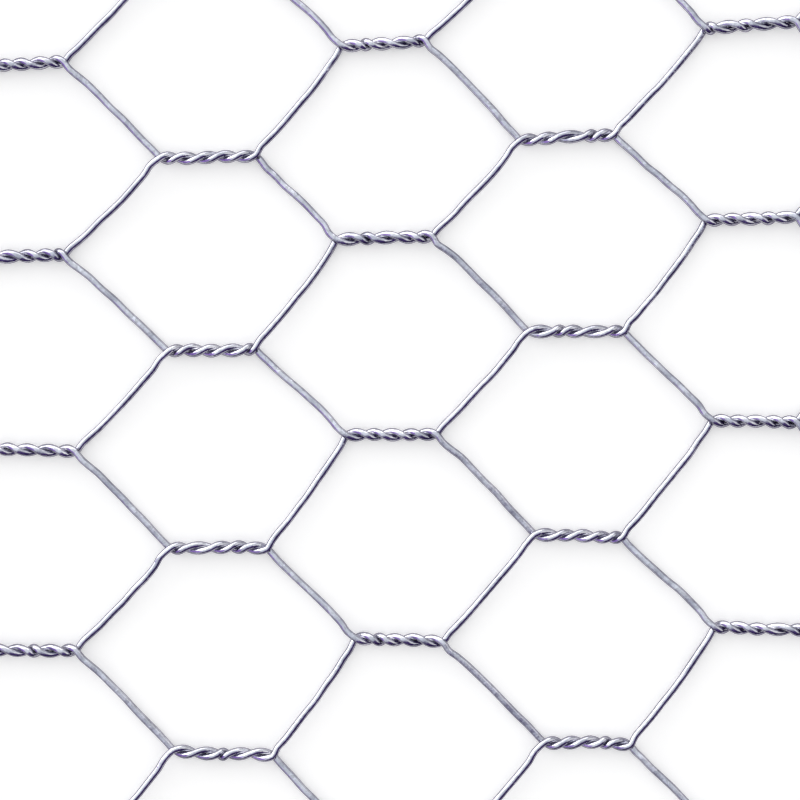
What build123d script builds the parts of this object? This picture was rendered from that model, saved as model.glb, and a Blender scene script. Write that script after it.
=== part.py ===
# Sheet of hexagonal wire netting lying flat: zigzag line wires twisted together in pairs,
# with a selvedge wire along each long edge.
# Millimetres. X runs along the twists, Y across the sheet, Z up.
# The origin is the centre of the sheet, halfway through its thickness.
import os
from math import cos, pi, sin
from build123d import *

# Mesh and wire
MESH = 25.4  # from one twist to the next one across the sheet
COLUMN_PITCH = 23.0  # from one column of twists to the next one along the sheet
WIRE = 0.9  # across the wire
SLACK = 0.1  # between the two wires of a twist

# How far the rows of twists wander from an even spacing, fading out at the selvedges
ROW_BOW = 1.0  # up in the middle of the sheet, down a quarter of the way in
ROW_SQUEEZE = 0.6  # towards the middle, from both sides
ROW_SWAY = 1.0  # up in one half of the length, down in the other
ROW_FAN = 0.75  # spread and squeezed in turn, along the length
COLUMN_LAG = 0.6  # every other column, back along the sheet
COLUMN_LIFT = 0.8  # every other column, up across the sheet

# Sheet
MESHES_WIDE = 8
COLUMNS = 11  # columns of twists, an odd number
STUB = 5.0  # cut end of a line wire past its last twist
SELVEDGE_STUB = 6.5  # cut end of a selvedge wire past its last twist

# Twist
LOBES = 5  # half turns between the two ends of a twist
LOBE_LENGTH = 2.28  # one half turn, along the sheet

half_row = MESH / 4
section_radius = 0.62 * WIRE  # of the square section, which has the area of the round wire
offset = section_radius + SLACK / 2
quarter = LOBE_LENGTH / 2
width = MESHES_WIDE * MESH
length = COLUMNS * COLUMN_PITCH


# Middle of the twist in one column and one row, where row_y is the row's height in an even sheet.
def twist_middle(column, row_y):
    x = (column - (COLUMNS - 1) / 2) * COLUMN_PITCH
    u = 2 * pi * x / length
    v = 2 * pi * row_y / width
    wander = ROW_BOW * cos(v) - ROW_SQUEEZE * sin(v) + (ROW_SWAY + ROW_FAN * sin(v)) * sin(u)
    lag = 0
    if column % 2:
        lag = COLUMN_LAG
        wander += COLUMN_LIFT
    return x - lag, row_y + wander * cos(v / 2)


# Corners of one wire through one twist, winding round the twist's axis.
# side is 1 for the wire that comes in from above the axis and -1 for the one from below.
def twist(column, row_y, side):
    middle_x, axis_y = twist_middle(column, row_y)
    start = middle_x - (2 * LOBES - 1) * quarter / 2
    hand = 1 if column % 2 else -1
    corners = []
    for step in range(2 * LOBES):
        across = (-1, -1, 1, 1)[step % 4] * side * offset
        height = (1, -1, -1, 1)[step % 4] * side * hand * offset
        corners.append((start + step * quarter, axis_y + across, height))
    return corners


# Cut end of a wire, carried on from its last two twists the way it was going.
def stub(corner, run_x, run_y):
    return (corner[0] + run_x, corner[1] + run_y, corner[2])


# Wire swept along its corners.
def draw_wire(corners, label):
    first = Vector(*corners[0])
    run = Vector(*corners[1]) - first
    with BuildPart() as wire:
        with BuildLine():
            Polyline(*corners)
        with BuildSketch(Plane(origin=first, z_dir=run)):
            RegularPolygon(section_radius, 4)
        sweep(transition=Transition.RIGHT)
    wire.part.label = label
    export_step(wire.part, f"parts/{label}.step")


# Line wire number n, counted from the low edge: it zigzags between two rows of twists.
def line_wire(n):
    centre_y = (n - (2 * MESHES_WIDE - 1) / 2) * MESH / 2
    corners = []
    for column in range(COLUMNS):
        high = 1 if (n + column) % 2 else -1
        corners += twist(column, centre_y + high * half_row, -high)
    slope = (MESH / 2) / (COLUMN_PITCH - (2 * LOBES - 1) * quarter)
    start = -1 if n % 2 else 1
    corners.insert(0, stub(corners[0], -STUB, start * STUB * slope))
    end = -1 if (n + COLUMNS - 1) % 2 else 1
    corners.append(stub(corners[-1], STUB, end * STUB * slope))
    draw_wire(corners, f"line_wire_{n + 1:02d}")


# Selvedge wire: straight along the edge, twisted with the outermost line wire where it comes out to it.
def selvedge(edge, label):
    corners = []
    for column in range(0, COLUMNS, 2):
        corners += twist(column, edge * width / 2, edge)
    corners.insert(0, stub(corners[0], -SELVEDGE_STUB, 0))
    corners.append(stub(corners[-1], SELVEDGE_STUB, 0))
    draw_wire(corners, label)


os.makedirs("parts", exist_ok=True)
for n in range(2 * MESHES_WIDE):
    line_wire(n)
selvedge(-1, "selvedge_low")
selvedge(1, "selvedge_high")
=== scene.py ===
import math
import random

import bmesh
import bpy
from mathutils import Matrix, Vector


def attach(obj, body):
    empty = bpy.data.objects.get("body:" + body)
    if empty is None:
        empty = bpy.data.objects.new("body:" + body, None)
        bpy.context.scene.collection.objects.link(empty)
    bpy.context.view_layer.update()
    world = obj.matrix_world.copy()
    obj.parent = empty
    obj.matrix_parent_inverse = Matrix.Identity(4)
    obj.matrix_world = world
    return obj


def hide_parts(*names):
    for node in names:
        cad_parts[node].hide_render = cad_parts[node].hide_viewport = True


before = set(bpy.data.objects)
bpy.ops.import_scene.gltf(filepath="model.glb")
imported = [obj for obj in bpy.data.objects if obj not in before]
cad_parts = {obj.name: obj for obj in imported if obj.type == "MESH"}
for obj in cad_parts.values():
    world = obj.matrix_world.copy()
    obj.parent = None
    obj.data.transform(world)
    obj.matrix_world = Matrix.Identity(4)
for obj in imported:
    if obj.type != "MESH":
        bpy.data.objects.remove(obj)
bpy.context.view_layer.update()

# Sizes of the netting, in metres, as in the CAD
MESH = 0.0254
COLUMN_PITCH = 0.023
MESHES_WIDE = 8
COLUMNS = 11
WIRE = 0.0009
LOBES = 5
LOBE_LENGTH = 0.00228
ROW_BOW = 0.001
ROW_SQUEEZE = 0.0006
ROW_SWAY = 0.001
ROW_FAN = 0.00075
COLUMN_LAG = 0.0006
COLUMN_LIFT = 0.0008
WIDTH = MESHES_WIDE * MESH
LENGTH = COLUMNS * COLUMN_PITCH

# How the round wires lie
TWIST_RADIUS = 0.00047
STEPS_PER_LOBE = 7
SIDES = 12
STUB = 0.004
SELVEDGE_STUB = 0.0055
STUB_MIDDLE = (0.45, 0.38)  # how far its middle lies along and aside, as shares of its tip's
STUB_STEPS = 5

# How a leg bends away from straight, down the sheet where it is positive, by the way it runs and the column
# it runs to: its bow, its sway from one half to the other, and its knees beside the first and the last twist
LEG_BENDS = {
    ("up", "even"): (0.00020, -0.00003, -0.00012, -0.00022),
    ("up", "odd"): (0.00033, -0.00010, -0.00020, 0.00004),
    ("down", "even"): (-0.00018, -0.00003, 0.00026, 0.00002),
    ("down", "odd"): (-0.00008, 0.00012, 0.00004, 0.00020),
    ("edge", "low"): (0, 0, 0, 0),
    ("edge", "high"): (0, 0, 0, 0),
}
BEND_AT = (0.07, 0.14, 0.24, 0.36, 0.48, 0.6, 0.72, 0.83, 0.91)
KNEE = 0.09  # as far along a leg as its knees lie from its ends
KNEE_REACH = 0.06  # and how far a knee spreads
BENT = (0.7, 1.25)  # how strongly one leg is bent, against its kind
JOG = 0.00006  # of the small bends that no two legs share
LEAD = 0.0012  # how far into the twists the knots lie that steer a leg's ends
LEG_STEPS = 3

# How a wire's thickness wanders along it
THICKER = 0.035  # at its thickest, as a share of the wire
SWELLS = (0.37, 0.11)  # a quick one and a slow one, in radians from ring to ring
PHASES = 6.28  # radians, over which their starts vary from wire to wire

# How far one twist differs from the next. The last three go by the way it winds
TILT = 3.0  # degrees, swaying from row to row
TILT_ROW = 0.009  # height on the sheet where that sway is level
TILT_OFF = 1.3  # degrees
PLACE_OFF = 0.00012
STRETCH = (0.98, 1.04)
LOOSE = {1: (0.84, 0.98), -1: (0.80, 0.97)}  # width of the lobes, as a share of one that just closes
UNEVEN = {1: 0.26, -1: 0.30}  # crossings, along the twist, in lobes
DRIFT = {1: 0.00009, -1: 0.00016}  # crossings, off the twist's axis

# Light
FLOOR_SIZE = 6
FLOOR_GAP = 0.00002
FLOOR_GLOW = 0.205
DOME = (0.80, 0.80, 0.80)
BRIGHT_SIDE = 130  # degrees round from +X, as in PATCHES
HORIZON = 0.4  # as bright as the room is at the horizon, against its ceiling
CEILING = 0.6  # height at which the room is at its full brightness, of 1 straight above
# From the dim side of the room to the bright side
ROOM_SHADES = (
    (0.0, (0.04, 0.022, 0.11)),
    (0.27, (0.08, 0.052, 0.18)),
    (0.40, (0.52, 0.53, 0.64)),
    (0.5, (0.74, 0.78, 0.86)),
    (0.77, (0.98, 1.02, 1.10)),
    (0.9, (2.2, 2.2, 2.3)),
)
# Soft patches low in the room: how far round and how high they lie, in degrees, and their colour
PATCHES = (
    (142, 6, (4.0, 4.0, 4.1)),
    (84, 8, (2.4, 2.4, 2.45)),
    (332, 18, (0.035, 0.02, 0.10)),
    (194, 23, (0.36, 0.21, 0.67)),
    (12, 26, (0.90, 0.90, 0.94)),
)
PATCH_CORE = 17  # degrees from a patch's middle to where it starts to fade
PATCH_EDGE = 31  # and to where it ends
KEY_PLACE = Vector((-0.55, 0.65, 0.7))
KEY_SIZE = 0.7
KEY_POWER = 0.4

# Camera
LENS = 100
SENSOR = 36
PIXELS_ACROSS = 800
PIXELS_PER_METRE = 7903
VIEW_CENTRE = (0.0005, -0.0064)
ROLL = 1.43  # degrees
CLIP_START = 0.01

rng = random.Random(7)


def off(reach):
    """Random offset to either side."""
    return rng.uniform(-reach, reach)


def twist_middle(column, row_y):
    """Where a twist's middle lies, once its row has wandered."""
    x = (column - (COLUMNS - 1) / 2) * COLUMN_PITCH
    u = 2 * math.pi * x / LENGTH
    v = 2 * math.pi * row_y / WIDTH
    wander = ROW_BOW * math.cos(v) - ROW_SQUEEZE * math.sin(v)
    wander += (ROW_SWAY + ROW_FAN * math.sin(v)) * math.sin(u)
    lag = 0.0
    if column % 2:
        lag = COLUMN_LAG
        wander += COLUMN_LIFT
    return x - lag, row_y + wander * math.cos(v / 2)


def twist_key(column, row_y):
    """Name of a twist in the list: its column, and its row in half meshes from the middle."""
    return column, round(row_y / MESH * 2)


# Small differences from one twist to the next, drawn once for each twist so that both wires share them
TWISTS = {}
for col in range(COLUMNS):
    rows = MESHES_WIDE if col % 2 else MESHES_WIDE + 1
    for r in range(rows):
        row_y = (r - (rows - 1) / 2) * MESH
        mx, my = twist_middle(col, row_y)
        free = 0.0 if abs(row_y) > WIDTH / 2 - MESH / 4 else 1.0  # none on the straight selvedges
        hand = 1 if col % 2 else -1
        tilt = TILT * math.sin(2 * math.pi * (row_y - TILT_ROW) / WIDTH) + off(TILT_OFF)
        TWISTS[twist_key(col, row_y)] = {
            "hand": hand,
            "x": mx + off(PLACE_OFF),
            "y": my + free * off(PLACE_OFF),
            "tilt": free * math.radians(tilt),
            "stretch": rng.uniform(*STRETCH),
            "uneven": [off(1) * UNEVEN[hand] for _ in range(LOBES + 1)],
            "drift": [off(1) * DRIFT[hand] * free for _ in range(LOBES + 1)],
            "loose": [rng.uniform(*LOOSE[hand]) for _ in range(LOBES)],
        }


def twist_points(column, row_y, side):
    """Centreline of one wire through one twist, from its first crossing to its last."""
    t = TWISTS[twist_key(column, row_y)]
    lobe = LOBE_LENGTH * t["stretch"]
    c, s = math.cos(t["tilt"]), math.sin(t["tilt"])
    points = []
    for i in range(LOBES * STEPS_PER_LOBE + 1):
        turn = math.pi * i / STEPS_PER_LOBE
        which = min(i // STEPS_PER_LOBE, LOBES - 1)
        part = i / STEPS_PER_LOBE - which
        near, far = 1 - part, part
        crossing = which + part + t["uneven"][which] * near + t["uneven"][which + 1] * far
        along = (crossing - LOBES / 2) * lobe
        drift = t["drift"][which] * near + t["drift"][which + 1] * far
        across = drift - side * TWIST_RADIUS * t["loose"][which] * math.sin(turn)
        height = t["hand"] * side * TWIST_RADIUS * math.cos(turn)
        points.append(Vector((t["x"] + c * along - s * across, t["y"] + s * along + c * across, height)))
    return points


def smooth(knots, steps):
    """Points of a smooth line through the knots, without its ends. The outermost knots only steer it."""
    out = []
    for k in range(1, len(knots) - 2):
        p0, p1, p2, p3 = knots[k - 1 : k + 3]
        for i in range(steps):
            if k == 1 and i == 0:
                continue
            t = i / steps
            near = (p2 - p0) * t + (2 * p0 - 5 * p1 + 4 * p2 - p3) * t * t
            far = (3 * p1 - p0 - 3 * p2 + p3) * t ** 3
            out.append(p1 + 0.5 * (near + far))
    return out


def knee(away):
    """How much of a knee is left, so far away from it as a share of the leg."""
    return math.exp(-((away / KNEE_REACH) ** 2))


def leg(before, after, kind):
    """Points of a leg between two twists, bent as its kind is."""
    a, b = before[-1], after[0]
    run = b - a
    down = Vector((run.y, -run.x, 0)).normalized()
    if down.y > 0:
        down = -down
    bow, sway, first_knee, last_knee = LEG_BENDS[kind]
    amount = rng.uniform(*BENT)
    knots = [a - (a - before[-2]).normalized() * LEAD, a]
    for at in BEND_AT:
        bend = bow * math.sin(math.pi * at) + sway * math.sin(2 * math.pi * at)
        bend += first_knee * knee(at - KNEE)
        bend += last_knee * knee(1 - KNEE - at)
        knots.append(a + run * at + down * (bend * amount + off(JOG)))
    knots += [b, b + (after[1] - b).normalized() * LEAD]
    return smooth(knots, LEG_STEPS)


def cut_end(point, run, stub, rise):
    """Points of a short cut end, from near the twist to the tip."""
    along, across = STUB_MIDDLE
    tip = point + Vector((stub, rise * abs(stub), 0))
    middle = point + Vector((stub * along, rise * abs(stub) * across, 0))
    knots = [point - run * 2, point, middle, tip, tip + (tip - middle)]
    return smooth(knots, STUB_STEPS) + [tip]


def through(twists, kinds, stub, rise):
    """One wire's whole centreline: its twists joined by legs, and a cut end at each end."""
    first, last = twists[0], twists[-1]
    path = list(reversed(cut_end(first[0], first[0] - first[1], -stub, rise)))
    for i, points in enumerate(twists):
        path += points
        if i < len(twists) - 1:
            path += leg(points, twists[i + 1], kinds[i])
    return path + cut_end(last[-1], last[-1] - last[-2], stub, rise)


def tube(name, path):
    """Round wire along a path, with flat cut ends."""
    bm = bmesh.new()
    tangent = (path[1] - path[0]).normalized()
    normal = tangent.cross(Vector((0, 0, 1))).normalized()
    rings = []
    phase = rng.uniform(0, PHASES)
    quick, slow = SWELLS
    for i, p in enumerate(path):
        ahead = path[min(i + 1, len(path) - 1)] - path[max(i - 1, 0)]
        ahead.normalize()
        turn = tangent.rotation_difference(ahead)
        normal = (turn @ normal).normalized()
        normal = (normal - ahead * normal.dot(ahead)).normalized()
        tangent = ahead
        other = tangent.cross(normal)
        swell = math.sin(i * quick + phase) * math.sin(i * slow + 2 * phase)
        radius = WIRE / 2 * (1 + THICKER * swell)
        ring = []
        for k in range(SIDES):
            a = 2 * math.pi * k / SIDES
            ring.append(bm.verts.new(p + radius * (math.cos(a) * normal + math.sin(a) * other)))
        rings.append(ring)
    for a, b in zip(rings, rings[1:]):
        for k in range(SIDES):
            bm.faces.new((a[k], a[(k + 1) % SIDES], b[(k + 1) % SIDES], b[k]))
    bm.faces.new(list(reversed(rings[0])))
    bm.faces.new(rings[-1])
    mesh = bpy.data.meshes.new(name)
    bmesh.ops.recalc_face_normals(bm, faces=bm.faces)
    bm.to_mesh(mesh)
    bm.free()
    for f in mesh.polygons:
        f.use_smooth = len(f.vertices) == 4
    piece = bpy.data.objects.new(name, mesh)
    bpy.context.scene.collection.objects.link(piece)
    return piece


def noise(tree, place, scale, detail):
    """Cloudy pattern of the given fineness."""
    node = tree.nodes.new("ShaderNodeTexNoise")
    node.inputs["Scale"].default_value = scale
    node.inputs["Detail"].default_value = detail
    tree.links.new(place, node.inputs["Vector"])
    return node.outputs["Fac"]


def ramp(tree, share, stops):
    """Colour that runs through the stops, each of them a share and a colour."""
    node = tree.nodes.new("ShaderNodeValToRGB")
    elements = node.color_ramp.elements
    while len(elements) < len(stops):
        elements.new(0.5)
    for element, (at, color) in zip(elements, stops):
        element.position = at
        element.color = (*color, 1)
    tree.links.new(share, node.inputs["Fac"])
    return node.outputs["Color"]


def multiply(tree, a, b, amount):
    """One colour darkened by another, by the given amount."""
    node = tree.nodes.new("ShaderNodeMix")
    node.data_type = "RGBA"
    node.blend_type = "MULTIPLY"
    node.inputs["Factor"].default_value = amount
    tree.links.new(a, node.inputs["A"])
    tree.links.new(b, node.inputs["B"])
    return node.outputs["Result"]


def blend(tree, under, color, share):
    """A colour laid over what is under it, by the share."""
    node = tree.nodes.new("ShaderNodeMix")
    node.data_type = "RGBA"
    node.inputs["B"].default_value = (*color, 1)
    tree.links.new(share, node.inputs["Factor"])
    tree.links.new(under, node.inputs["A"])
    return node.outputs["Result"]


def bump(tree, height, strength, distance):
    """Node that tilts the surface as the height goes up and down."""
    node = tree.nodes.new("ShaderNodeBump")
    node.inputs["Strength"].default_value = strength
    node.inputs["Distance"].default_value = distance
    tree.links.new(height, node.inputs["Height"])
    return node


def spread(tree, value, source=(0.0, 1.0), target=(0.0, 1.0), kind="LINEAR"):
    """A value carried from one range to another."""
    node = tree.nodes.new("ShaderNodeMapRange")
    node.interpolation_type = kind
    node.inputs["From Min"].default_value, node.inputs["From Max"].default_value = source
    node.inputs["To Min"].default_value, node.inputs["To Max"].default_value = target
    tree.links.new(value, node.inputs["Value"])
    return node.outputs["Result"]


def facing(tree, place, direction):
    """How far a place in the room lies the given way, from -1 to 1."""
    node = tree.nodes.new("ShaderNodeVectorMath")
    node.operation = "DOT_PRODUCT"
    node.inputs[1].default_value = direction
    tree.links.new(place, node.inputs[0])
    return node.outputs["Value"]


def greater(tree, a, b):
    """The larger of two values."""
    node = tree.nodes.new("ShaderNodeMath")
    node.operation = "MAXIMUM"
    tree.links.new(a, node.inputs[0])
    tree.links.new(b, node.inputs[1])
    return node.outputs[0]


def zinc():
    """Bright zinc coating: patchy, finely crystalline and dented, with painted shade that darkens the wire's
    edges where they turn away from the view.
    """
    material = bpy.data.materials.new("zinc_wire")
    material.use_nodes = True
    tree = material.node_tree
    shader = tree.nodes["Principled BSDF"]
    shader.inputs["Metallic"].default_value = 1.0
    place = tree.nodes.new("ShaderNodeTexCoord").outputs["Object"]
    patch = noise(tree, place, scale=320.0, detail=4.0)
    grain = noise(tree, place, scale=1500.0, detail=6.0)
    spangle = tree.nodes.new("ShaderNodeTexVoronoi")
    spangle.inputs["Scale"].default_value = 1800.0
    tree.links.new(place, spangle.inputs["Vector"])
    crystal = tree.nodes.new("ShaderNodeSeparateColor")
    tree.links.new(spangle.outputs["Color"], crystal.inputs["Color"])

    coat = ramp(tree, patch, ((0.32, (0.62, 0.63, 0.69)), (0.68, (0.98, 0.98, 1.0))))
    facets = multiply(tree, coat, crystal.outputs["Red"], amount=0.25)
    # Painted shade: the colour darkens towards the wire's edges as they turn away from the view
    glancing = tree.nodes.new("ShaderNodeLayerWeight")
    glancing.inputs["Blend"].default_value = 0.5
    painted_edge_shade = ramp(tree, glancing.outputs["Facing"], ((0.1, (1, 1, 1)), (0.52, (0.255, 0.235, 0.32))))
    edge_shaded = multiply(tree, facets, painted_edge_shade, amount=1.0)
    tree.links.new(edge_shaded, shader.inputs["Base Color"])

    tree.links.new(spread(tree, patch, target=(0.07, 0.20)), shader.inputs["Roughness"])
    dents = bump(tree, patch, strength=0.8, distance=0.0003)
    bumps = bump(tree, grain, strength=0.4, distance=0.00004)
    tree.links.new(dents.outputs["Normal"], bumps.inputs["Normal"])
    tree.links.new(bumps.outputs["Normal"], shader.inputs["Normal"])
    return material


ZINC = zinc()


def show(name, path, node):
    """A wire of the scene, in place of the frame's node."""
    piece = tube(name, path)
    piece.data.materials.append(ZINC)
    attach(piece, "root")
    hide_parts(node)


for n in range(2 * MESHES_WIDE):
    centre_y = (n - (2 * MESHES_WIDE - 1) / 2) * MESH / 2
    twists, kinds = [], []
    for col in range(COLUMNS):
        high = 1 if (n + col) % 2 else -1
        twists.append(twist_points(col, centre_y + high * MESH / 4, -high))
        kinds.append(("down" if high > 0 else "up", "odd" if (col + 1) % 2 else "even"))
    path = through(twists, kinds, STUB, -1 if n % 2 else 1)
    show(f"wire_{n + 1:02d}", path, f"line_wire_{n + 1:02d}")

for edge, name in ((-1, "low"), (1, "high")):
    twists = [twist_points(col, edge * WIDTH / 2, edge) for col in range(0, COLUMNS, 2)]
    kinds = [("edge", name)] * len(twists)
    path = through(twists, kinds, SELVEDGE_STUB, 0)
    show(f"selvedge_wire_{name}", path, f"selvedge_{name}")


def white_floor():
    """Plain white card that glows a little to the camera and in reflections, so that it shows as white."""
    material = bpy.data.materials.new("white_floor")
    material.use_nodes = True
    tree = material.node_tree
    shader = tree.nodes["Principled BSDF"]
    shader.inputs["Base Color"].default_value = (0.95, 0.95, 0.95, 1)
    shader.inputs["Roughness"].default_value = 0.9
    shader.inputs["Specular IOR Level"].default_value = 0.1
    rays = tree.nodes.new("ShaderNodeLightPath").outputs
    seen = greater(tree, rays["Is Camera Ray"], rays["Is Glossy Ray"])
    seen = greater(tree, seen, rays["Is Transmission Ray"])
    glow = spread(tree, seen, target=(0.0, FLOOR_GLOW))
    shader.inputs["Emission Color"].default_value = (1, 1, 1, 1)
    tree.links.new(glow, shader.inputs["Emission Strength"])
    return material


lowest = -(TWIST_RADIUS + WIRE / 2 * (1 + THICKER))
bpy.ops.mesh.primitive_plane_add(size=FLOOR_SIZE, location=(0, 0, lowest - FLOOR_GAP))
floor = bpy.context.object
floor.name = "floor"
floor.data.materials.append(white_floor())


def towards(around, up):
    """Direction that lies so many degrees round from +X and so many degrees up."""
    a, e = math.radians(around), math.radians(up)
    return Vector((math.cos(e) * math.cos(a), math.cos(e) * math.sin(a), math.sin(e)))


def soft_room():
    """Soft room that is bright towards the upper left and dim violet towards the lower right."""
    world = bpy.data.worlds.new("room")
    world.use_nodes = True
    tree = world.node_tree
    place = tree.nodes.new("ShaderNodeTexCoord").outputs["Generated"]
    share = spread(tree, facing(tree, place, towards(BRIGHT_SIDE, 0)), source=(-1.0, 1.0))
    split = tree.nodes.new("ShaderNodeSeparateXYZ")
    tree.links.new(place, split.inputs["Vector"])
    rise = spread(tree, split.outputs["Z"], source=(0.0, CEILING), target=(HORIZON, 1.0))
    dimmed = tree.nodes.new("ShaderNodeVectorMath")
    dimmed.operation = "SCALE"
    tree.links.new(ramp(tree, share, ROOM_SHADES), dimmed.inputs["Vector"])
    tree.links.new(rise, dimmed.inputs["Scale"])

    walls = dimmed.outputs["Vector"]
    fading = math.cos(math.radians(PATCH_EDGE)), math.cos(math.radians(PATCH_CORE))
    for around, up, color in PATCHES:
        near = facing(tree, place, towards(around, up))
        walls = blend(tree, walls, color, spread(tree, near, source=fading, kind="SMOOTHSTEP"))

    # The room shows in what is glossy. Matt surfaces are lit by an even dome
    rays = tree.nodes.new("ShaderNodeLightPath").outputs
    background = tree.nodes["Background"]
    tree.links.new(blend(tree, walls, DOME, rays["Is Diffuse Ray"]), background.inputs["Color"])
    background.inputs["Strength"].default_value = 1.0
    bpy.context.scene.world = world


def key_light():
    """Large weak lamp on the bright side, which turns the floor's soft shadow away from it."""
    key = bpy.data.lights.new("key", "AREA")
    key.energy = KEY_POWER
    key.size = KEY_SIZE
    lamp = bpy.data.objects.new("key", key)
    lamp.location = KEY_PLACE
    lamp.rotation_euler = (-KEY_PLACE).to_track_quat("-Z", "Y").to_euler()
    lamp.visible_glossy = False
    bpy.context.scene.collection.objects.link(lamp)


def camera_above():
    """Camera straight above, turned a little as the photo is."""
    camera = bpy.data.objects.new("camera", bpy.data.cameras.new("camera"))
    camera.data.lens = LENS
    camera.data.sensor_width = SENSOR
    camera.data.clip_start = CLIP_START
    frame_width = PIXELS_ACROSS / PIXELS_PER_METRE
    camera.location = (*VIEW_CENTRE, frame_width * LENS / SENSOR)
    camera.rotation_euler = (0, 0, -math.radians(ROLL))
    bpy.context.scene.collection.objects.link(camera)
    bpy.context.scene.camera = camera


soft_room()
key_light()
camera_above()
bpy.context.scene.view_settings.view_transform = "Standard"
